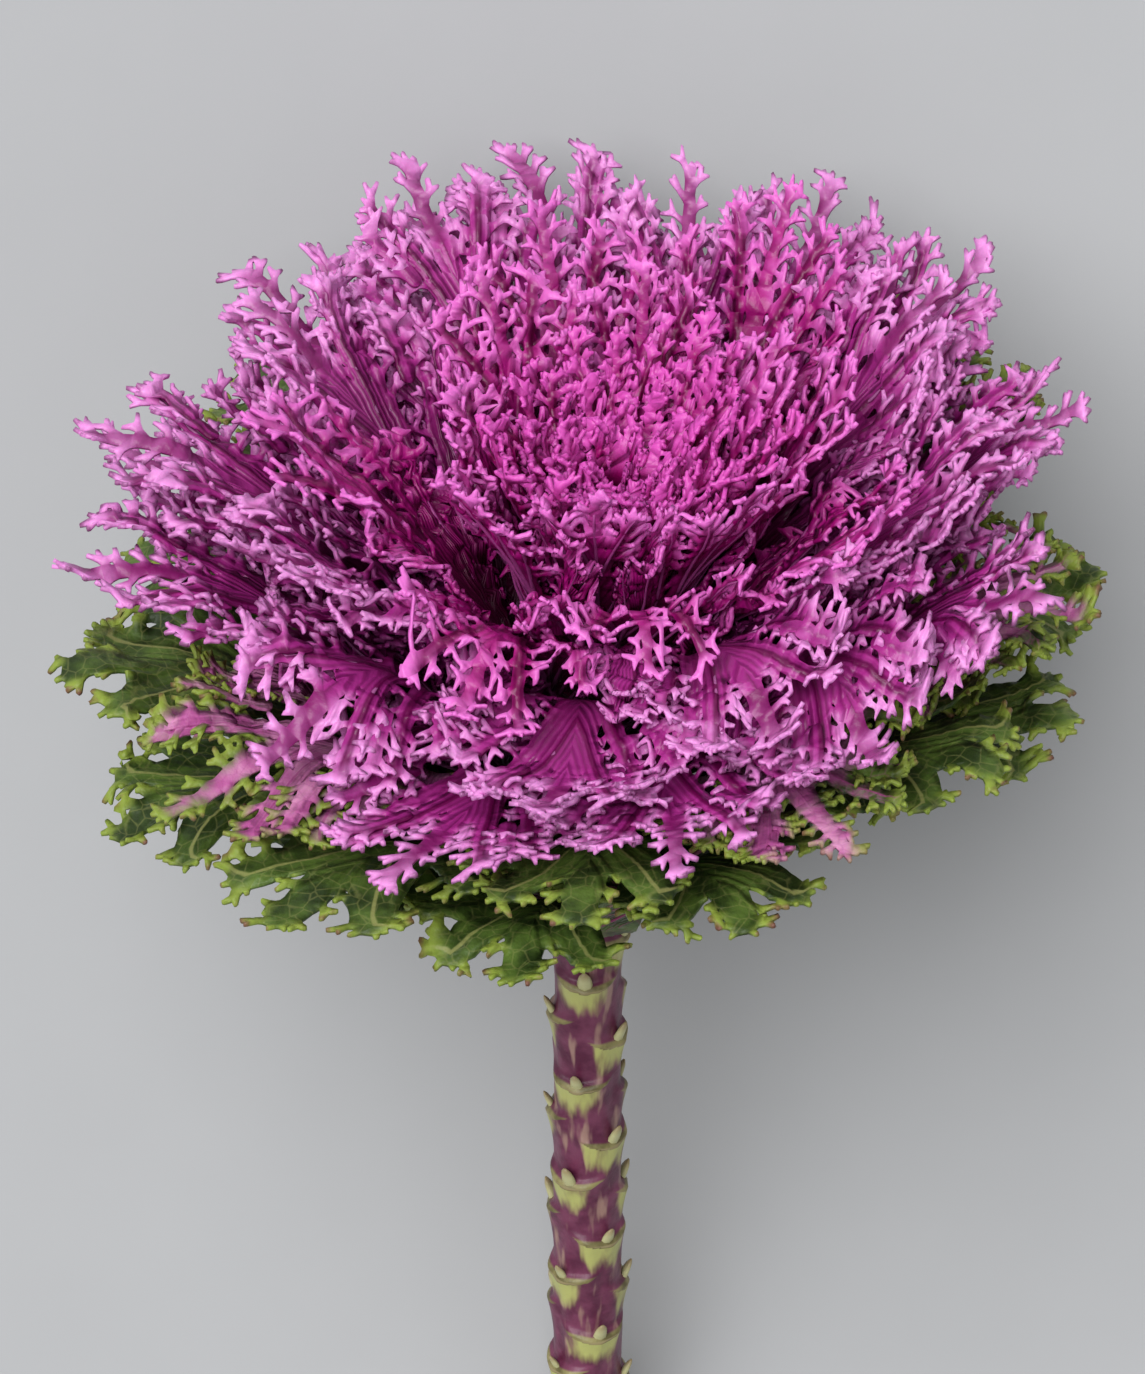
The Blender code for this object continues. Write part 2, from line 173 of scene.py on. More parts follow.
# The floor's half size and the light: an even sky and one broad lamp, with its spread in degrees
# and where it comes from
FLOOR_HALF = 3.0
SKY_STRENGTH = 0.45
KEY_STRENGTH = 2.95
KEY_SPREAD = 50.0
KEY_FROM = (-0.38, 0.48, 1.0)


def smooth(share):
    """Rises from 0 to 1 with level ends, on numbers or arrays."""
    share = np.clip(share, 0.0, 1.0)
    return share * share * (3.0 - 2.0 * share)


def blend(low, high, share):
    """From low at share 0 to high at share 1."""
    return low + (high - low) * share


def lay_down(x, u, v):
    """Points across, up and out of the plant as an (n, 3) array: bent, laid down and pressed."""
    inner = np.maximum(0.0, 1.0 - (x * x + v * v) / HEAD_RADIUS ** 2)
    left = smooth(-x / HEAD_RADIUS)
    across = x + (HEAD_LEAN * inner - LEFT_REACH * left) * np.maximum(0.0, u) ** 2
    tilt = smooth(u / BEND_LENGTH) * HEAD_SIDE_TILT * x
    nod = smooth((u - NOD_FROM) / NOD_OVER) * HEAD_NOD * v
    opened = smooth((v - OPEN_OUT_FROM) / OPEN_OUT_OVER) * smooth((u - OPEN_UP_FROM) / OPEN_UP_OVER)
    up = u + tilt - nod - OPENING * opened
    angle = math.radians(LIE_ANGLE)
    end_rest = STEM_BELOW * math.sin(angle) + stem_radius(-STEM_BELOW) * math.cos(angle)
    y = up * math.cos(angle) - v * math.sin(angle)
    z = up * math.sin(angle) + v * math.cos(angle) + end_rest
    pressed = PRESS_HEIGHT * np.exp(np.minimum(0.0, z - PRESS_HEIGHT) / PRESS_HEIGHT)
    return np.stack([across, y, np.where(z < PRESS_HEIGHT, pressed, z)], axis=-1)


def around(r, u, turn):
    """Row-frame points at radii, heights and turns in degrees, before the plant's offset."""
    angle = np.radians(turn)
    return lay_down(r * np.sin(angle), u + 0.0 * angle, r * np.cos(angle))


def stem_radius(u):
    """The plain stem: a little thicker to its cut end and at the collar, thinner in the head."""
    below = 1.0 + END_SWELL * smooth(-u / STEM_BELOW)
    swell = COLLAR_SWELL * smooth((u + COLLAR_FROM) / COLLAR_OVER)
    taper = HEAD_TAPER * smooth((u - TAPER_FROM) / TAPER_OVER)
    return STEM_RADIUS * (below + swell - taper)


class Leaf:
    """One leaf's place in the rosette and the shell that it lies on, as in the solids."""

    def __init__(self, number):
        draw = random.Random(SEED + number)
        place = [np.interp(number, STATIONS[:, 0], column) for column in STATIONS.T]
        _, root_u, tip_r, tip_u, lean_root, lean_tip, half_width = place
        self.number = number
        self.in_heart = number < HEART_LEAVES
        self.petiole_share = HEART_PETIOLE_SHARE if self.in_heart else PETIOLE_SHARE
        self.turn = FIRST_TURN + number * GOLDEN_TURN + draw.uniform(-TURN_JITTER, TURN_JITTER)
        self.half_width = half_width * draw.uniform(0.92, 1.08)
        self.reach = draw.uniform(0.94, 1.03)
        self.phase = draw.uniform(0.0, 2.0 * math.pi)
        self.sweep = draw.uniform(-6.0, 6.0)
        root_r = ROOT_GAP + RIB_THICKNESS / 2
        root_r += CORE_RADIUS * 0.5 if self.in_heart else stem_radius(root_u)
        self.midrib = self.bezier((root_r, root_u), (tip_r, tip_u), lean_root, lean_tip)
        steps = np.diff(self.midrib, axis=0)
        self.length = float(np.hypot(steps[:, 0], steps[:, 1]).sum())

    @staticmethod
    def bezier(root, tip, lean_root, lean_tip):
        """The midrib as (r, u) points from the stem to the tip."""
        root, tip = np.array(root), np.array(tip)
        handle = HANDLE_SHARE * np.hypot(*(tip - root))
        lean_root, lean_tip = math.radians(lean_root), math.radians(lean_tip)
        first = root + handle * np.array((math.sin(lean_root), math.cos(lean_root)))
        second = tip - handle * np.array((math.sin(lean_tip), math.cos(lean_tip)))
        t = np.linspace(0.0, 1.0, CURVE_SAMPLES + 1)[:, None]
        start = (1 - t) ** 3 * root + 3 * t * (1 - t) ** 2 * first
        return start + 3 * t * t * (1 - t) * second + t ** 3 * tip

    def world(self, along, across, lift):
        """Row-frame points of flat leaf points: metres along, across and lifted off the shell."""
        share = along / self.length
        place = np.clip(share, 0.0, 0.9999) * CURVE_SAMPLES
        low = place.astype(int)
        step = self.midrib[low + 1] - self.midrib[low]
        point = self.midrib[low] + step * (place - low)[:, None]
        past = np.maximum(0.0, share - 1.0) + np.minimum(0.0, share)
        point = point + step * (past * CURVE_SAMPLES)[:, None]
        normal = np.stack([-step[:, 1], step[:, 0]], axis=1)
        normal /= np.hypot(normal[:, 0], normal[:, 1])[:, None]
        point = point + normal * lift[:, None]
        wrap = np.degrees(across / np.maximum(point[:, 0], NEAREST_WRAP))
        turn = self.turn + self.sweep * share * share + MOST_WRAP * np.tanh(wrap / MOST_WRAP)
        return around(point[:, 0], point[:, 1], turn)

    def envelope(self, share):
        """Half the blade's overall width at a share of the leaf's length."""
        blade = np.clip((share - self.petiole_share) / (1.02 - self.petiole_share), 0.0, 1.0)
        return self.half_width * np.sin(math.pi * blade ** 1.25) ** 0.6


# How a kind of leaf is cut: side ribs a side, the half width of the blade along its midrib, the
# half widths of a lobe at its base and end, how far out the blade fills between ribs, the spacing,
# length and half width of its fingers, the ribs' angles to the midrib at the base and the end, its
# share of the full ruffle, and its layers
CUTS = {
    "core": dict(ribs=4, body=0.0011, wide=0.0008, narrow=0.0004, web=0.20, spacing=0.0014,
                 finger=0.0021, finger_radius=0.00032, angles=(40.0, 20.0), ruffle=1.3, layers=2),
    "heart": dict(ribs=6, body=0.0015, wide=0.0010, narrow=0.0005, web=0.30, spacing=0.0020,
                  finger=0.0027, finger_radius=0.00034, angles=(42.0, 18.0), ruffle=0.8, layers=1),
    "inner": dict(ribs=8, body=0.0024, wide=0.0014, narrow=0.0007, web=0.40, spacing=0.0022,
                  finger=0.0029, finger_radius=0.00038, angles=(38.0, 17.0), ruffle=0.7, layers=1),
    "purple": dict(ribs=9, body=0.0042, wide=0.0023, narrow=0.0010, web=0.54, spacing=0.0021,
                   finger=0.0026, finger_radius=0.00042, angles=(38.0, 18.0), ruffle=0.75,
                   layers=2),
    "variegated": dict(ribs=9, body=0.0046, wide=0.0027, narrow=0.0011, web=0.56, spacing=0.0021,
                       finger=0.0026, finger_radius=0.00044, angles=(42.0, 19.0), ruffle=0.8,
                       layers=2),
    "green": dict(ribs=6, body=0.0080, wide=0.0080, narrow=0.0032, web=0.86, spacing=0.0027,
                  finger=0.0026, finger_radius=0.00056, angles=(52.0, 24.0), ruffle=0.8, layers=1),
}
CORE_LEAVES = 12
INNER_LEAVES = 14


def kind_of(number):
    """The kind of cut and colour of a leaf by its number, counted from the middle outwards."""
    if number < HEART_LEAVES:
        return "core" if number < CORE_LEAVES else "heart"
    if number >= FIRST_GREEN:
        return "green"
    if number in VARIEGATED:
        return "variegated"
    return "inner" if number < HEART_LEAVES + INNER_LEAVES else "purple"


class Skeleton:
    """The ribs and fingers of one flat leaf, as capsules with a radius, a lift and a tip share.

    Layer 0 is the whole fan. Layer 1 is the frill: shorter lobes between the fan's, lifted off it.
    """

    def __init__(self, leaf, cut, layer):
        self.leaf, self.cut, self.layer = leaf, cut, layer
        self.draw = random.Random(SKELETON_SEED + 2 * (SEED + leaf.number) + layer)
        self.capsules = []
        self.ribs = []
        self.size = min(1.0, SIZE_BASE + SIZE_GAIN * leaf.half_width / FULL_WIDTH)
        far = max(0.0, math.cos(math.radians(leaf.turn - FAR_TURN)))
        self.reach = leaf.reach * leaf.length * (1.0 + FAR_REACH * far)
        self.reach -= 0.5 * cut["finger"] * self.size
        if layer == 0:
            self.grow_midrib()
        for side in (1.0, -1.0):
            for index in range(cut["ribs"] - layer):
                shift = (0.0 if side > 0 else SIDE_SHIFT) + FRILL_SHIFT * layer
                self.side_rib(min(index + shift, cut["ribs"] - 1.0), side, index)

    def capsule(self, start, end, radii, lifts, tips):
        self.capsules.append((*start, *end, *radii, *lifts, *tips))

    def rib_line(self, index, points=RIB_POINTS):
        """A side rib of a whole or part index as flat points from the midrib to its end."""
        share = index / (self.cut["ribs"] - 1)
        tip_share = blend(FIRST_LOBE_END, LAST_LOBE_END, share)
        out = float(self.leaf.envelope(tip_share)) * (0.93 + 0.07 * math.cos(2.1 * index))
        out = max(0.3 * out, out - 0.6 * self.cut["finger"] * self.size)
        wide, narrow = self.cut["angles"]
        slant = out / math.tan(math.radians(blend(wide, narrow, share)))
        first = max(0.10 * self.reach, tip_share * self.reach - slant)
        x = np.linspace(0.0, 1.0, points)
        along = first + (tip_share * self.reach - first) * (1.45 * x - 0.45 * x * x)
        return np.stack([along, out * x], axis=1)

    def grow_midrib(self):
        """The petiole, the blade beside the midrib and the lobe at the leaf's end."""
        leaf, cut = self.leaf, self.cut
        end = np.array([self.reach, 0.0])
        stops = np.linspace(0.0, 1.0, MIDRIB_STEPS + 1)
        opened = smooth((stops - 0.6 * leaf.petiole_share) / 0.22)
        closed = smooth((1.0 - stops) / 0.5)
        radii = blend(PETIOLE_HALF_WIDTH, cut["body"] * closed + cut["narrow"], opened) * self.size
        for a, b, ra, rb in zip(stops, stops[1:], radii, radii[1:]):
            self.capsule(a * end, b * end, (ra, rb), (0.0, 0.0), (0.5 * a, 0.5 * b))
        branched = np.stack([0.70 * end, end])
        self.branches(branched, 0.6, np.zeros(2), radii[[TIP_BRANCHES_FROM, -1]])
        self.fork(end, 0.0, 0.0, self.end_fingers(), radii[-1])

    def side_rib(self, index, side, order):
        """One lobe: its rib, with fingers down both sides and a fork at the end."""
        cut, draw = self.cut, self.draw
        line = self.rib_line(index) * (1.0, side)
        x = np.linspace(0.0, 1.0, len(line))
        swing = draw.uniform(0.3, 1.0) * (-1.0 if order % 2 else 1.0)
        frill = FRILL_LIFT + FRILL_LIFT_MORE * abs(swing)
        rise = (FAN_LIFT * swing if self.layer == 0 else frill) * self.size
        lifts = rise * smooth(x) + draw.uniform(-1.0, 1.0) * LOBE_WOBBLE * x * np.sin(4.0 * x)
        radii = blend(cut["wide"], cut["narrow"], x) * self.size
        first = 0
        if self.layer == 1:
            first = FRILL_FROM
        else:
            self.ribs.append(line)
            foot = smooth((cut["ribs"] - 1.0 - index) / (0.5 * cut["ribs"]))
            radii = radii + 0.8 * foot * cut["body"] * self.size * smooth(1.0 - x / cut["web"])
        for i in range(first, len(line) - 1):
            self.capsule(line[i], line[i + 1], (radii[i], radii[i + 1]),
                         (lifts[i], lifts[i + 1]), (0.55 * x[i], 0.55 * x[i + 1]))
        start = max(first, int(0.8 * cut["web"] * len(line)))
        self.branches(line[start:], 0.55 * x[start], lifts[start:], radii[start:])
        heading = math.atan2(*(line[-1] - line[-2])[::-1])
        self.fork(line[-1], heading, lifts[-1], self.end_fingers(), radii[-1])

    def end_fingers(self):
        """A wide lobe ends in more fingers."""
        return 5 if self.cut["narrow"] > WIDE_LOBE else 3

    def branches(self, line, first_tip, lifts, radii):
        """Short branches left and right along a line, each ending in a fork of fingers."""
        cut, draw = self.cut, self.draw
        steps = np.diff(line, axis=0)
        run = np.concatenate([[0.0], np.cumsum(np.hypot(steps[:, 0], steps[:, 1]))])
        place, side = 0.3 * cut["spacing"], draw.choice((-1.0, 1.0))
        while place < run[-1]:
            share = place / run[-1]
            step = steps[min(np.searchsorted(run, place, "right") - 1, len(steps) - 1)]
            root = np.array([np.interp(place, run, line[:, 0]), np.interp(place, run, line[:, 1])])
            heading = math.atan2(step[1], step[0])
            angle = heading + side * math.radians(draw.uniform(*BRANCH_ANGLE))
            reach = cut["finger"] * self.size * blend(1.15, 0.70, share)
            reach = reach * draw.uniform(*BRANCH_VARY) + float(np.interp(place, run, radii))
            tip = root + reach * np.array((math.cos(angle), math.sin(angle)))
            lift = float(np.interp(place, run, lifts))
            rise = lift + draw.uniform(*BRANCH_RISE) * self.size
            radius = cut["finger_radius"]
            self.capsule(root, tip, (1.5 * radius, radius), (lift, rise),
                         (blend(first_tip, 0.7, share), 0.85))
            self.fork(tip, angle, rise, 2, radius)
            place += cut["spacing"] * self.size * draw.uniform(0.8, 1.2)
            side = -side

    def fork(self, root, heading, lift, count, width):
        """Blunt fingers that fan out from the end of a branch or lobe of a given half width."""
        cut, draw = self.cut, self.draw
        for i in range(count):
            spread = (i - 0.5 * (count - 1)) * (PAIR_SPREAD if count == 2 else FAN_SPREAD)
            turned = draw.uniform(-SPREAD_VARY, SPREAD_VARY)
            angle = heading + math.radians(spread + turned)
            reach = FORK_REACH * cut["finger"] * self.size * draw.uniform(*FINGER_VARY)
            reach += 0.8 * width
            tip = root + reach * np.array((math.cos(angle), math.sin(angle)))
            rise = lift + draw.uniform(*FINGER_RISE)
            radius = cut["finger_radius"]
            self.capsule(root, tip, (radius, 0.9 * radius), (lift, rise), (0.85, 1.0))


class FlatField:
    """The leaf's outline, lift and tip share on a grid, from its skeleton's capsules."""

    def __init__(self, capsules):
        c = np.array(capsules)
        pad = 4.0 * SOFT + c[:, 4:6].max()
        self.low = np.minimum(c[:, 0:2], c[:, 2:4]).min(axis=0) - pad
        high = np.maximum(c[:, 0:2], c[:, 2:4]).max(axis=0) + pad
        self.shape = tuple(np.ceil((high - self.low) / CELL).astype(int) + 2)
        self.xs = self.low[0] + CELL * np.arange(self.shape[0])
        self.ys = self.low[1] + CELL * np.arange(self.shape[1])
        total = np.zeros(self.shape)
        lift = np.zeros(self.shape)
        tip = np.zeros(self.shape)
        for row in c:
            self.add(row, total, lift, tip)
        covered = np.maximum(total, 1e-12)
        self.distance = -SOFT * np.log(covered)
        share = np.minimum(1.0, total)
        near = np.maximum(self.blurred(share), 1e-9)
        self.lift = self.blurred(share * lift / covered) / near
        self.tip = self.blurred(share * tip / covered) / near

    @staticmethod
    def blurred(grid):
        """The grid, averaged over its neighbours a few times."""
        for _ in range(BLUR_PASSES):
            for axis in (0, 1):
                grid = 0.25 * (np.roll(grid, 1, axis) + 2.0 * grid + np.roll(grid, -1, axis))
        return grid

    def add(self, row, total, lift, tip):
        """Adds one capsule's weight, and its lift and tip by that weight, to the grids."""
        start, end = row[0:2], row[2:4]
        pad = row[4:6].max() + 4.0 * SOFT
        low = ((np.minimum(start, end) - pad - self.low) / CELL).astype(int)
        high = ((np.maximum(start, end) + pad - self.low) / CELL).astype(int) + 2
        low, high = np.maximum(low, 0), np.minimum(high, self.shape)
        window = np.s_[low[0]:high[0], low[1]:high[1]]
        dx = self.xs[low[0]:high[0], None] - start[0]
        dy = self.ys[None, low[1]:high[1]] - start[1]
        run = end - start
        share = np.clip((dx * run[0] + dy * run[1]) / max(run @ run, 1e-12), 0.0, 1.0)
        away = np.hypot(dx - share * run[0], dy - share * run[1])
        weight = np.exp(np.minimum(9.0, -(away - blend(row[4], row[5], share)) / SOFT))
        total[window] += weight
        lift[window] += weight * blend(row[6], row[7], share)
        tip[window] += weight * blend(row[8], row[9], share)

    def sample(self, grid, points):
        """Values of a grid between its nodes."""
        place = (points - self.low) / CELL
        low = np.clip(place.astype(int), 0, np.array(self.shape) - 2)
        fx, fy = np.clip(place - low, 0.0, 1.0).T
        i, j = low.T
        bottom = blend(grid[i, j], grid[i + 1, j], fx)
        return blend(bottom, blend(grid[i, j + 1], grid[i + 1, j + 1], fx), fy)

    def outline(self):
        """Closed loops of points where the distance is zero."""
        inside = self.distance < 0.0
        ny = self.shape[1]
        nodes, links = {}, {}

        def crossing(i, j, di, dj):
            key = (i * ny + j) * 2 + dj
            if key not in nodes:
                a, b = self.distance[i, j], self.distance[i + di, j + dj]
                share = min(0.98, max(0.02, a / (a - b)))
                nodes[key] = (self.xs[i] + di * share * CELL, self.ys[j] + dj * share * CELL)
            return key

        corners = inside[:-1, :-1].astype(int) + inside[1:, :-1] + inside[:-1, 1:] + inside[1:, 1:]
        for i, j in np.argwhere((corners > 0) & (corners < 4)):
            i, j = int(i), int(j)
            square = (inside[i, j], inside[i + 1, j], inside[i + 1, j + 1], inside[i, j + 1])
            edges = ((i, j, 1, 0), (i + 1, j, 0, 1), (i, j + 1, 1, 0), (i, j, 0, 1))
            keys = [crossing(*edge) for edge, a, b in zip(edges, square, square[1:] + square[:1])
                    if a != b]
            if len(keys) == 4 and square[0]:
                keys = [keys[0], keys[3], keys[1], keys[2]]
            for first, second in zip(keys[::2], keys[1::2]):
                links.setdefault(first, []).append(second)
                links.setdefault(second, []).append(first)
        return [self.thin(np.array([nodes[key] for key in ring])) for ring in chains(links)]

    @staticmethod
    def thin(loop):
        """The loop with fewer points where it runs straight."""
        kept = [loop[0]]
        heading = None
        for previous, point in zip(loop, loop[1:]):
            gap = math.hypot(*(point - kept[-1]))
            step = math.atan2(point[1] - previous[1], point[0] - previous[0])
            if heading is None:
                heading = step
            turned = abs((step - heading + math.pi) % (2.0 * math.pi) - math.pi)
            if gap > SHORTEST_EDGE and (gap > LONGEST_EDGE or turned > EDGE_TURN):
                kept.append(point)
                heading = step
        return kept if len(kept) >= 3 else []


def chains(links):
    """Rings of keys from a table of each key's two neighbours."""
    unseen = set(links)
    rings = []
    while unseen:
        key = unseen.pop()
        ring = [key]
        while True:
            following = [k for k in links[key] if k in unseen]
            if not following:
                break
            key = following[0]
            unseen.discard(key)
            ring.append(key)
        if len(ring) > 8:
            rings.append(ring)
    return rings


def flat_leaf(field):
    """(points, triangles) of the flat leaf, from its outline and a loose inner lattice."""
    scale = 1000.0
    points, edges = [], []
    for loop in field.outline():
        if loop:
            first = len(points)
            points.extend(loop)
            last = len(points)
            edges.extend((k, k + 1 if k + 1 < last else first) for k in range(first, last))
    columns, rows = field.xs[::LATTICE_CELLS], field.ys[::LATTICE_CELLS]
    lattice = np.stack(np.meshgrid(columns, rows, indexing="ij"), axis=-1)
    lattice = lattice + 0.3 * CELL * np.sin(lattice * 9000.0)
    inner = lattice.reshape(-1, 2)
    inner = inner[field.sample(field.distance, inner) < -LATTICE_INSET]
    points.extend(inner)
    flat = [Vector(point) * scale for point in points]
    result = delaunay_2d_cdt(flat, edges, [], 0, 1e-4)
    flat = np.array([tuple(point) for point in result[0]]) / scale
    faces = np.array([face for face in result[2] if len(face) == 3])
    centres = flat[faces].mean(axis=1)
    faces = faces[field.sample(field.distance, centres) < 0.0]
    used = np.unique(faces)
    renumber = np.zeros(len(flat), int)
    renumber[used] = np.arange(len(used))
    return flat[used], renumber[faces]


def vein_place(skeleton, flat):
    """Each flat point's side rib as a part index: whole numbers lie on a rib."""
    ribs = skeleton.cut["ribs"]
    indices = np.linspace(0.0, ribs - 1.0, 3 * ribs)
    level = np.empty((len(flat), len(indices)))
    across = np.abs(flat[:, 1])
    for k, index in enumerate(indices):
        line = skeleton.rib_line(index, 12)
        level[:, k] = np.interp(across, line[:, 1], line[:, 0])
    level += 1e-7 * np.arange(len(indices))
    above = np.clip((level < flat[:, :1]).sum(axis=1), 1, len(indices) - 1)
    rows = np.arange(len(flat))
    low, high = level[rows, above - 1], level[rows, above]
    share = np.clip((flat[:, 0] - low) / np.maximum(high - low, 1e-6), -4.0, 4.0)
    return blend(indices[above - 1], indices[above], share)


def ruffled(leaf, cut, flat):
    """How far the blade's margin waves off its shell."""
    out = np.abs(flat[:, 1]) / leaf.half_width
    end = (flat[:, 0] / (leaf.reach * leaf.length) - RUFFLED_FROM) / 0.28
    edge = np.clip(np.maximum(out, 0.8 * end), 0.0, 1.1) ** 1.6
    size = RUFFLE * cut["ruffle"] * leaf.half_width / RUFFLED_WIDTH
    side = smooth(0.5 + flat[:, 1] / MIDRIB_CALM)
    swing = np.sin(2.0 * math.pi * flat[:, 0] / RUFFLE_LENGTH + leaf.phase + 2.2 * side)
    fine = 0.10 * np.sin(flat[:, 0] * 1300.0) * np.cos(flat[:, 1] * 1100.0)
    return size * (0.7 * edge * swing + fine * np.minimum(1.0, 3.0 * out))


def placed(name, data):
    """A new object in the scene."""
    made = bpy.data.objects.new(name, data)
    bpy.context.scene.collection.objects.link(made)
    return made


class Mesh:
    """Points, faces and point attributes that grow piece by piece into one object."""

    def __init__(self):
        self.points, self.faces, self.fields = [], [], []
        self.count = 0

    def add(self, points, faces, fields):
        """fields is an (n, 4) array: tip, along, rib and vein place."""
        self.points.append(points)
        self.fields.append(fields)
        self.faces.extend((np.asarray(faces) + self.count).tolist())
        self.count += len(points)

    def add_wall(self, rings, fields):
        """Adds a wall of rings, points in a (rings, sides, 3) array, with a face over each end."""
        index = np.arange(rings.size // 3).reshape(rings.shape[:2])
        a, b = index[:-1], index[1:]
        faces = np.stack([a, np.roll(a, -1, 1), np.roll(b, -1, 1), b], axis=-1).reshape(-1, 4)
        ends = [(end + self.count).tolist() for end in (index[0, ::-1], index[-1])]
        self.add(rings.reshape(-1, 3), faces, fields)
        self.faces.extend(ends)

    def object(self, name, finish, tone):
        data = bpy.data.meshes.new(name)
        points = np.concatenate(self.points) + OFFSET
        data.from_pydata(points.tolist(), [], self.faces)
        fields = np.concatenate(self.fields)
        for column, label in enumerate(("tip", "along", "rib", "vein")):
            layer = data.attributes.new(label, "FLOAT", "POINT")
            layer.data.foreach_set("value", fields[:, column].astype(np.float32))
        layer = data.attributes.new("tone", "FLOAT", "POINT")
        layer.data.foreach_set("value", np.full(len(points), tone, np.float32))
        data.polygons.foreach_set("use_smooth", np.ones(len(data.polygons), bool))
        data.materials.append(finish)
        data.validate()
        return placed(name, data)


def thick_sheet(points, faces, thickness):
    """(points, faces) of a closed sheet: the surface, its underside and its rim."""
    a, b, c = points[faces[:, 0]], points[faces[:, 1]], points[faces[:, 2]]
    facing = np.cross(b - a, c - a)
    normals = np.zeros_like(points)
    for corner in range(3):
        np.add.at(normals, faces[:, corner], facing)
    normals /= np.maximum(np.linalg.norm(normals, axis=1), 1e-15)[:, None]
    offset = normals * (0.5 * thickness)[:, None]
    n = len(points)
    under = faces[:, ::-1] + n
    sides = np.concatenate([faces[:, [0, 1]], faces[:, [1, 2]], faces[:, [2, 0]]])
    lone = set(map(tuple, sides.tolist()))
    rim = [(q, p, p + n, q + n) for p, q in lone if (q, p) not in lone]
    rim_faces = [(q, p, s) for q, p, s, _ in rim] + [(q, s, t) for q, _, s, t in rim]
    top = np.concatenate([points + offset, points - offset])
    return top, np.concatenate([faces, under, np.array(rim_faces)])


def tube(line, radii, sides=6):
    """(flat points with lifts, faces) of a closed tube along a line of (along, across, lift)."""
    heading = np.gradient(line[:, :2], axis=0)
    heading /= np.maximum(np.hypot(heading[:, 0], heading[:, 1]), 1e-9)[:, None]
    angle = 2.0 * math.pi * np.arange(sides) / sides
    beside = np.stack([-heading[:, 1], heading[:, 0]], axis=1)
    flat = line[:, None, :2] + beside[:, None, :] * (radii[:, None] * np.cos(angle))[:, :, None]
    lift = line[:, None, 2] + radii[:, None] * np.sin(angle)
    rings = np.concatenate([flat, lift[:, :, None]], axis=2).reshape(-1, 3)
    faces = []
    for k in range(len(line) - 1):
        for i in range(sides):
            j = (i + 1) % sides
            p, q = k * sides + i, k * sides + j
            faces.extend([(p, p + sides, q), (q, p + sides, q + sides)])
    last = (len(line) - 1) * sides
    for i in range(1, sides - 1):
        faces.append((0, i, i + 1))
        faces.append((last, last + i + 1, last + i))
    return rings, np.array(faces)


def grow_leaf(leaf, mesh):
    """Adds one fine leaf to a mesh: its fan and frill, a midrib and side ribs on the back."""
    cut = CUTS[kind_of(leaf.number)]
    for layer in range(cut["layers"]):
        skeleton = Skeleton(leaf, cut, layer)
        field = FlatField(skeleton.capsules)
        flat, faces = flat_leaf(field)
        lift = field.sample(field.lift, flat) + ruffled(leaf, cut, flat)
        tip = field.sample(field.tip, flat)
        points = leaf.world(flat[:, 0], flat[:, 1], lift)
        thickness = BLADE_THICKNESS * (THIN_SHARE + TIP_THICKENING * tip)
        closed, faces = thick_sheet(points, faces, thickness)
        fields = np.stack([tip, flat[:, 0] / skeleton.reach, 0.0 * tip,
                           vein_place(skeleton, flat)], axis=1)
        mesh.add(closed, faces, np.concatenate([fields, fields]))
        for line in skeleton.ribs:
            add_rib(leaf, mesh, line, SIDE_RIB_RADII, field, cut)
        if layer == 0:
            stops = np.linspace(-PETIOLE_FOOT, 0.95 * skeleton.reach, MIDRIB_POINTS)
            line = np.stack([stops, 0.0 * stops], axis=1)
            add_rib(leaf, mesh, line, MIDRIB_RADII, field, cut)


def add_rib(leaf, mesh, line, ends, field, cut):
    """A tapering rib along a flat line, sunk into the back of the blade."""
    size = 0.5 + 0.5 * leaf.half_width / RUFFLED_WIDTH
    share = np.linspace(0.0, 1.0, len(line))
    radii = blend(*ends, share ** 0.5) * size
    lift = field.sample(field.lift, line) + ruffled(leaf, cut, line) - 0.55 * radii
    rings, faces = tube(np.column_stack([line, lift]), radii)
    points = leaf.world(rings[:, 0], rings[:, 1], rings[:, 2])
    along = rings[:, 0] / (leaf.reach * leaf.length)
    fields = np.stack([0.4 * along, along, np.ones(len(rings)), 0.0 * along], axis=1)
    mesh.add(points, faces, fields)


def scar_places():
    """(height, turn in degrees) of each leaf scar down the bare stem."""
    count = int((STEM_BELOW - 0.006 + SCAR_FIRST) / SCAR_STEP) + 1
    return [(SCAR_FIRST - SCAR_STEP * k, SCAR_FIRST_TURN + SCAR_TURN * k) for k in range(count)]


def stem_surface(u, turn):
    """(swell, scar, patch) of the stem on a grid: ledges, the scars on top and green below."""
    swell, scar, patch = np.zeros(u.shape), np.zeros(u.shape), np.zeros(u.shape)
    for height, centre in scar_places():
        away = (turn - centre + 180.0) % 360.0 - 180.0
        below = height + FINE_SMILE * (1.0 - np.cos(np.radians(away))) - u
        near = smooth(1.35 - np.abs(away) / SCAR_WIDTH)
        under = np.clip(1.0 - below / SCAR_FADE, 0.0, 1.0) ** 2
        top = smooth(1.0 + below / SCAR_FACE)
        keel = KEEL * np.exp(-(away / KEEL_WIDTH) ** 2) * under
        swell = np.maximum(swell, np.where(below >= 0.0, SCAR_LEDGE * near * under + keel * near,
                                           SCAR_LEDGE * near * top))
        face = smooth(1.0 + (below - 0.0002) / (SCAR_FACE * (0.35 + 0.65 * near)))
        scar = np.maximum(scar, near * face * (below < 0.0004))
        green = smooth(1.45 - np.abs(away + PATCH_SHIFT) / PATCH_WIDTH)
        green = green * smooth(1.10 - below / PATCH_LENGTH)
        patch = np.maximum(patch, green * (below > 0.0))
    return swell, scar, patch


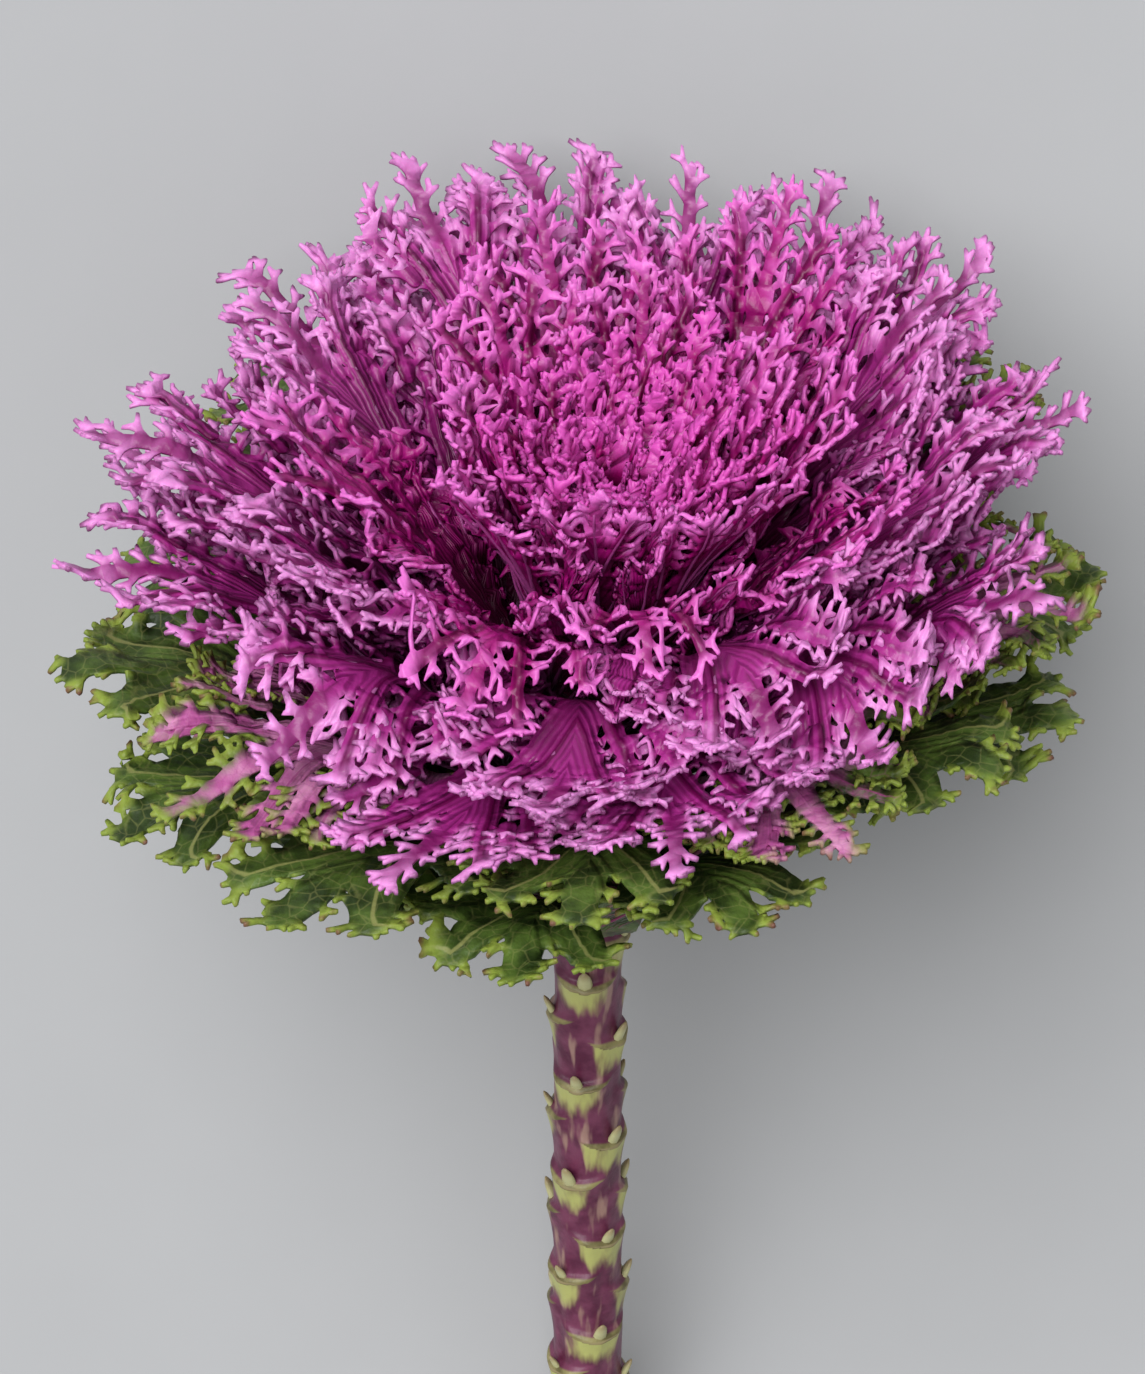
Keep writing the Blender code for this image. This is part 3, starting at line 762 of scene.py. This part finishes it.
def stem_object(finish):
    """The stem with its scars' ledges at full detail, and its bud stubs."""
    heights = np.linspace(-STEM_BELOW, STEM_TOP, FINE_RINGS)
    turns = np.arange(FINE_SIDES) * (360.0 / FINE_SIDES)
    u, turn = np.meshgrid(heights, turns, indexing="ij")
    swell, rim, patch = stem_surface(u, turn)
    flutes = FLUTE * np.sin(np.radians(turn * FLUTES) + 60.0 * u)
    mesh = Mesh()
    fields = np.stack([rim, patch, 0.0 * u, 0.0 * u], axis=-1).reshape(-1, 4)
    mesh.add_wall(around(stem_radius(u) + swell + flutes, u, turn), fields)
    for height, centre in scar_places():
        add_bud(mesh, height, centre)
    return mesh.object("fine_stem", finish, 0.0)


def add_bud(mesh, height, centre):
    """A blunt bud stub that leans out over its scar."""
    draw = random.Random(int(-height * 1e6))
    share = np.linspace(0.0, 1.0, BUD_RINGS)
    size = draw.uniform(0.85, 1.15)
    radii = BUD_RADIUS * size * np.sqrt(np.maximum(0.10, 1.0 - share ** 6)) * (1.0 - 0.35 * share)
    radial = stem_radius(height) - 0.0002 + BUD_LEAN * share
    up = height - BUD_SINK + BUD_LENGTH * size * share
    angle = 2.0 * math.pi * np.arange(BUD_SIDES) / BUD_SIDES
    r = radial[:, None] + 0.6 * radii[:, None] * np.cos(angle)
    turn = centre + np.degrees(radii[:, None] * np.sin(angle) / r)
    fields = np.zeros((r.size, 4))
    fields[:, 2] = 1.0
    fields[:, 0] = np.repeat(share, BUD_SIDES)
    mesh.add_wall(around(r, up[:, None] + 0.0 * r, turn), fields)


def srgb(red, green, blue):
    """A linear colour from 0-255 display values."""
    values = [value / 255.0 for value in (red, green, blue)]
    return [v / 12.92 if v <= 0.04045 else ((v + 0.055) / 1.055) ** 2.4 for v in values] + [1.0]


class Paint:
    """A Principled material and short ways to add its nodes."""

    def __init__(self, name, roughness, specular=0.35):
        self.material = bpy.data.materials.new(name)
        self.material.use_nodes = True
        self.nodes = self.material.node_tree.nodes
        self.links = self.material.node_tree.links
        self.shader = self.nodes["Principled BSDF"]
        self.shader.inputs["Roughness"].default_value = roughness
        self.shader.inputs["Specular IOR Level"].default_value = specular
        self.place = self.nodes.new("ShaderNodeTexCoord").outputs["Object"]

    def set(self, socket, value):
        """Links a node's output to a socket, or gives the socket a plain value."""
        if isinstance(value, bpy.types.NodeSocket):
            self.links.new(value, socket)
        elif value is not None:
            socket.default_value = value

    def attribute(self, name):
        node = self.nodes.new("ShaderNodeAttribute")
        node.attribute_name = name
        return node.outputs["Fac"]

    def math(self, operation, first, second=None, third=None):
        node = self.nodes.new("ShaderNodeMath")
        node.operation = operation
        for socket, value in zip(node.inputs, (first, second, third)):
            self.set(socket, value)
        return node.outputs[0]

    def band(self, value, low, high):
        """0 below low, 1 above high and smooth between; falls instead when low is above high."""
        node = self.nodes.new("ShaderNodeMapRange")
        node.interpolation_type = "SMOOTHSTEP"
        self.set(node.inputs["Value"], value)
        ends = (low, high, 0.0, 1.0) if low < high else (high, low, 1.0, 0.0)
        for label, end in zip(("From Min", "From Max", "To Min", "To Max"), ends):
            node.inputs[label].default_value = end
        return node.outputs["Result"]

    def mix(self, share, first, second):
        node = self.nodes.new("ShaderNodeMix")
        node.data_type = "RGBA"
        self.set(node.inputs["Factor"], share)
        self.set(node.inputs[6], first)
        self.set(node.inputs[7], second)
        return node.outputs[2]

    def noise(self, scale, detail=3.0, place=None):
        node = self.nodes.new("ShaderNodeTexNoise")
        node.inputs["Scale"].default_value = scale
        node.inputs["Detail"].default_value = detail
        self.links.new(place or self.place, node.inputs["Vector"])
        return node.outputs["Fac"]

    def streaks(self, scale):
        """Noise drawn out along the stem."""
        mapping = self.nodes.new("ShaderNodeMapping")
        mapping.inputs["Scale"].default_value = (1.0, 0.14, 0.5)
        self.links.new(self.place, mapping.inputs["Vector"])
        return self.noise(scale, 2.0, mapping.outputs["Vector"])

    def net(self):
        """1 on the lines of a fine irregular net."""
        node = self.nodes.new("ShaderNodeTexVoronoi")
        node.feature = "DISTANCE_TO_EDGE"
        node.inputs["Scale"].default_value = NET_SCALE
        self.links.new(self.place, node.inputs["Vector"])
        return self.band(node.outputs["Distance"], 0.07, 0.0)

    def bump(self, height, strength, distance):
        node = self.nodes.new("ShaderNodeBump")
        node.inputs["Strength"].default_value = strength
        node.inputs["Distance"].default_value = distance
        self.links.new(height, node.inputs["Height"])
        self.links.new(node.outputs["Normal"], self.shader.inputs["Normal"])

    def finish(self, colour, translucency=None, radius=None):
        self.set(self.shader.inputs["Base Color"], colour)
        if translucency:
            self.shader.inputs["Subsurface Weight"].default_value = translucency
            self.shader.inputs["Subsurface Radius"].default_value = radius
            self.shader.inputs["Subsurface Scale"].default_value = 0.0015
        return self.material


def vein_line(paint, width):
    """1 on a side rib's line, fading out to each side."""
    return paint.band(paint.math("PINGPONG", paint.attribute("vein"), 0.5), width, 0.3 * width)


def finer_veins(paint):
    """Rises and falls four times between two side ribs."""
    return paint.math("PINGPONG", paint.math("MULTIPLY", paint.attribute("vein"), 4.0), 0.5)


def vein_mask(paint, width):
    """The side ribs' lines with finer ones between them."""
    finer = paint.math("MULTIPLY", paint.band(finer_veins(paint), 0.24, 0.06), 0.5)
    return paint.math("MAXIMUM", vein_line(paint, width), finer)


def rib_relief(paint):
    """The height of the blade: raised along the side ribs and a little along finer ones."""
    main = paint.band(paint.math("PINGPONG", paint.attribute("vein"), 0.5), 0.40, 0.02)
    grain = paint.math("MULTIPLY_ADD", paint.noise(800.0, 2.0), 0.25, main)
    return paint.math("MULTIPLY_ADD", paint.band(finer_veins(paint), 0.4, 0.05), 0.3, grain)


def purple_leaf_material(name, base_and_painted_shade, blade, light, point, vein):
    """Dark magenta towards the base, the leaf's own deeper colour with painted shade of the
    rosette's depth, lilac on the blade and pale at the fingers, with darker veins.
    """
    paint = Paint(name, 0.38, 0.42)
    along, tip = paint.attribute("along"), paint.attribute("tip")
    mottle = paint.noise(160.0, 4.0)
    reach = paint.math("MULTIPLY_ADD", tip, 0.55, paint.math("MULTIPLY", along, 0.55))
    reach = paint.math("ADD", reach, paint.math("MULTIPLY_ADD", mottle, 0.30, -0.15))
    # Low reach, towards the leaf's base, takes the dark base colour: deeper magenta and painted
    # shade of the depth in one
    colour = paint.mix(paint.band(reach, 0.22, 0.84), base_and_painted_shade, blade)
    colour = paint.mix(paint.band(reach, 0.74, 1.06), colour, light)
    veins = paint.math("MULTIPLY", vein_mask(paint, 0.14), paint.band(tip, 0.95, 0.45))
    veins = paint.math("MULTIPLY", veins, 0.95)
    colour = paint.mix(veins, colour, vein)
    ends = paint.math("MULTIPLY", paint.band(tip, 0.91, 0.99), paint.band(mottle, 0.36, 0.54))
    ends = paint.math("MULTIPLY", ends, paint.band(paint.attribute("tone"), 0.45, 0.65))
    colour = paint.mix(paint.math("MULTIPLY", ends, 0.85), colour, point)
    rib = paint.math("MULTIPLY", paint.attribute("rib"), 0.35)
    colour = paint.mix(rib, colour, light)
    paint.bump(rib_relief(paint), 0.7, 0.0010)
    return paint.finish(colour, 0.10, (1.0, 0.25, 0.6))


def green_leaf_material(name, pinkness):
    """Dark green blades with pale veins, yellow-green margins and pink-brown points.

    pinkness is how far a leaf has lost its green: tone carries it for the variegated leaves.
    """
    paint = Paint(name, 0.46, 0.30)
    along, tip = paint.attribute("along"), paint.attribute("tip")
    mottle = paint.noise(140.0, 4.0)
    patch = paint.noise(38.0, 3.0)
    colour = paint.mix(paint.band(mottle, 0.35, 0.68), srgb(38, 54, 20), srgb(84, 108, 44))
    margin = paint.math("ADD", tip, paint.math("MULTIPLY_ADD", mottle, 0.5, -0.25))
    colour = paint.mix(paint.band(margin, 0.55, 1.0), colour, srgb(138, 156, 62))
    if pinkness:
        inner = paint.math("SUBTRACT", patch, paint.math("MULTIPLY", margin, 0.60))
        inner = paint.math("MULTIPLY_ADD", paint.attribute("tone"), 0.42, inner)
        pink = paint.mix(paint.band(mottle, 0.35, 0.7), srgb(176, 84, 146), srgb(218, 150, 190))
        colour = paint.mix(paint.band(inner, 0.30, 0.52), colour, pink)
    veins = paint.math("MAXIMUM", vein_line(paint, 0.035), paint.math("MULTIPLY", paint.net(), 0.35))
    veins = paint.math("MULTIPLY", veins, paint.band(tip, 1.0, 0.6))
    far = srgb(150, 62, 120) if pinkness else srgb(148, 150, 90)
    pale = paint.mix(paint.band(along, 0.30, 0.70), srgb(146, 50, 104), far)
    colour = paint.mix(paint.math("MULTIPLY", veins, 0.7), colour, pale)
    ends = paint.math("MULTIPLY", paint.band(tip, 0.92, 1.0), paint.band(mottle, 0.42, 0.6))
    colour = paint.mix(ends, colour, srgb(116, 70, 64))
    colour = paint.mix(paint.math("MULTIPLY", paint.attribute("rib"), 0.5), colour, pale)
    paint.bump(rib_relief(paint), 0.8, 0.0012)
    return paint.finish(colour, 0.08, (0.5, 1.0, 0.2))


def stem_material():
    """Maroon bark, yellow-green below each scar, olive scar faces and cream buds."""
    paint = Paint("stem_bark", 0.40, 0.4)
    scar, patch, bud = (paint.attribute(label) for label in ("tip", "along", "rib"))
    mottle = paint.noise(260.0, 5.0)
    streak = paint.streaks(420.0)
    bark = paint.mix(paint.band(mottle, 0.3, 0.7), srgb(84, 26, 56), srgb(116, 56, 84))
    bark = paint.mix(paint.band(streak, 0.54, 0.72), bark, srgb(156, 122, 112))
    greener = paint.math("ADD", patch, paint.math("MULTIPLY_ADD", streak, 1.6, -0.86))
    greener = paint.math("MULTIPLY", greener, paint.band(patch, 0.02, 0.35))
    colour = paint.mix(paint.band(greener, 0.20, 0.95), bark, srgb(178, 180, 106))
    dried = paint.mix(paint.band(mottle, 0.35, 0.65), srgb(96, 88, 52), srgb(146, 138, 90))
    colour = paint.mix(paint.band(scar, 0.25, 0.55), colour, dried)
    edge = paint.math("MULTIPLY", paint.band(scar, 0.84, 0.98), 0.8)
    colour = paint.mix(edge, colour, srgb(150, 136, 100))
    budding = paint.mix(paint.band(scar, 0.55, 1.0), srgb(186, 184, 136), srgb(150, 134, 98))
    colour = paint.mix(bud, colour, budding)
    paint.bump(paint.noise(700.0, 4.0), 0.35, 0.0004)
    return paint.finish(colour, 0.05, (0.8, 0.5, 0.3))


def plant_offset(frame):
    """From the plant's coordinates to the row frame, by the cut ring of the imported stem."""
    stem = frame["nodes"]["stem"]
    corners = np.array([tuple(v.co) for v in stem.data.vertices])
    angle = math.radians(LIE_ANGLE)
    order = np.argsort(corners @ np.array((0.0, math.cos(angle), math.sin(angle))))
    ring = np.unique(np.round(corners[order[:STEM_SIDES]], 6), axis=0)
    turns = 360.0 * np.arange(STEM_SIDES) / STEM_SIDES
    u = np.full(STEM_SIDES, -STEM_BELOW)
    swell = stem_swell_at_ring(u, turns)
    model = around(stem_radius(u) + swell, u, turns)
    return 0.5 * (ring.min(axis=0) + ring.max(axis=0) - model.min(axis=0) - model.max(axis=0))


def stem_swell_at_ring(u, turn):
    """The leaf cushions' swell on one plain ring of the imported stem."""
    swell = np.zeros(u.shape)
    for height, centre in scar_places():
        below = height - u
        side = np.abs((turn - centre + 180.0) % 360.0 - 180.0) / SCAR_WIDTH
        fade = np.where((below > -1e-6) & (below < SCAR_FADE),
                        (1.0 - below / SCAR_FADE) ** 2, 0.0)
        swell = np.maximum(swell, SCAR_LEDGE * fade * smooth(1.25 - side))
    return swell


def stand_for(piece, node):
    """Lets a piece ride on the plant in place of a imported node."""
    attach(piece, "root")
    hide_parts(node)


def make_camera():
    """A long lens at the photograph's angle, framed on the head and the upper stem."""
    lie, rise = math.radians(LIE_ANGLE), math.radians(VIEW_RISE)
    axis = Vector((0.0, math.cos(lie), math.sin(lie)))
    front = Vector((0.0, -math.sin(lie), math.cos(lie)))
    toward = axis * math.sin(rise) + front * math.cos(rise)
    up = axis * math.cos(rise) - front * math.sin(rise)
    right = Vector((1.0, 0.0, 0.0))
    collar = Vector(around(np.zeros(1), np.zeros(1), np.zeros(1))[0] + OFFSET)
    centre = collar + right * ((IMAGE_WIDTH / 2 - COLLAR_PIXEL[0]) / PIXELS_PER_METRE)
    centre += up * ((COLLAR_PIXEL[1] - IMAGE_HEIGHT / 2) / PIXELS_PER_METRE)
    data = bpy.data.cameras.new("camera")
    data.sensor_fit = "VERTICAL"
    data.sensor_height = 24.0
    data.lens = 24.0 * VIEW_DISTANCE / (IMAGE_HEIGHT / PIXELS_PER_METRE)
    camera = placed("camera", data)
    turned = Matrix((right, up, toward)).transposed().to_4x4()
    camera.matrix_world = Matrix.Translation(centre + toward * VIEW_DISTANCE) @ turned
    bpy.context.scene.camera = camera


def make_studio():
    """A pale floor, a pale even sky and one broad soft lamp from the upper left."""
    data = bpy.data.meshes.new("floor")
    mesh = bmesh.new()
    bmesh.ops.create_grid(mesh, x_segments=1, y_segments=1, size=FLOOR_HALF)
    mesh.to_mesh(data)
    mesh.free()
    paint = Paint("pale_floor", 0.95, 0.05)
    speck = paint.noise(30.0, 3.0)
    data.materials.append(paint.finish(paint.mix(speck, srgb(175, 176, 178), srgb(179, 180, 182))))
    floor = placed("floor", data)
    world = bpy.data.worlds.new("pale_sky")
    world.use_nodes = True
    sky = world.node_tree.nodes["Background"].inputs
    sky["Color"].default_value = (0.98, 0.99, 1.0, 1.0)
    sky["Strength"].default_value = SKY_STRENGTH
    bpy.context.scene.world = world
    data = bpy.data.lights.new("soft_key", "SUN")
    data.energy = KEY_STRENGTH
    data.angle = math.radians(KEY_SPREAD)
    lamp = placed("soft_key", data)
    lamp.rotation_euler = Vector(KEY_FROM).to_track_quat("Z", "Y").to_euler()
    bpy.context.scene.view_settings.view_transform = "Standard"


def leaf_materials():
    """By kind; the purple ones are given a dark base colour that also paints shade, then blade,
    light, point and vein colours.
    """
    return {
        # The first colour of each purple kind darkens the leaf's base: partly its own colour, partly
        # painted shade of the rosette's depth
        "heart": purple_leaf_material("heart_leaf", srgb(74, 0, 36), srgb(156, 4, 106),
                                      srgb(218, 84, 186), srgb(150, 30, 110), srgb(100, 0, 56)),
        "inner": purple_leaf_material("inner_leaf", srgb(78, 0, 44), srgb(166, 16, 120),
                                      srgb(228, 112, 204), srgb(96, 20, 76), srgb(104, 0, 66)),
        "purple": purple_leaf_material("purple_leaf", srgb(76, 0, 46), srgb(170, 44, 138),
                                       srgb(234, 148, 220), srgb(88, 26, 68), srgb(98, 0, 68)),
        "variegated": green_leaf_material("variegated_leaf", True),
        "green": green_leaf_material("green_leaf", False),
    }


def build():
    """The stem, the heart as one piece, and one piece for each leaf around it."""
    finishes = leaf_materials()
    stand_for(stem_object(stem_material()), "stem")
    heart = Mesh()
    for number in range(HEART_LEAVES):
        grow_leaf(Leaf(number), heart)
    stand_for(heart.object("fine_heart", finishes["heart"], 0.15), "heart")
    counts = {}
    for number in range(HEART_LEAVES, LEAVES):
        kind = kind_of(number)
        slot = "purple_leaf" if kind == "inner" else kind + "_leaf"
        counts[slot] = counts.get(slot, 0) + 1
        mesh = Mesh()
        grow_leaf(Leaf(number), mesh)
        node = f"{slot}_{counts[slot]:02d}"
        tone = PINKNESS.get(number, number / LEAVES)
        stand_for(mesh.object("fine_" + node, finishes[kind], tone), node)


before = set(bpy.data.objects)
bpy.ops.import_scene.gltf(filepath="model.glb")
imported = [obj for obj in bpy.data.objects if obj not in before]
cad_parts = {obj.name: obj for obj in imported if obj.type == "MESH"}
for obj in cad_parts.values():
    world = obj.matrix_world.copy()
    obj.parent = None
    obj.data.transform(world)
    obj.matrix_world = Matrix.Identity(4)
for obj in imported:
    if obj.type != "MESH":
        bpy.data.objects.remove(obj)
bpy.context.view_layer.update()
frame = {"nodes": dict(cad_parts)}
OFFSET = plant_offset(frame)
make_camera()
make_studio()
build()
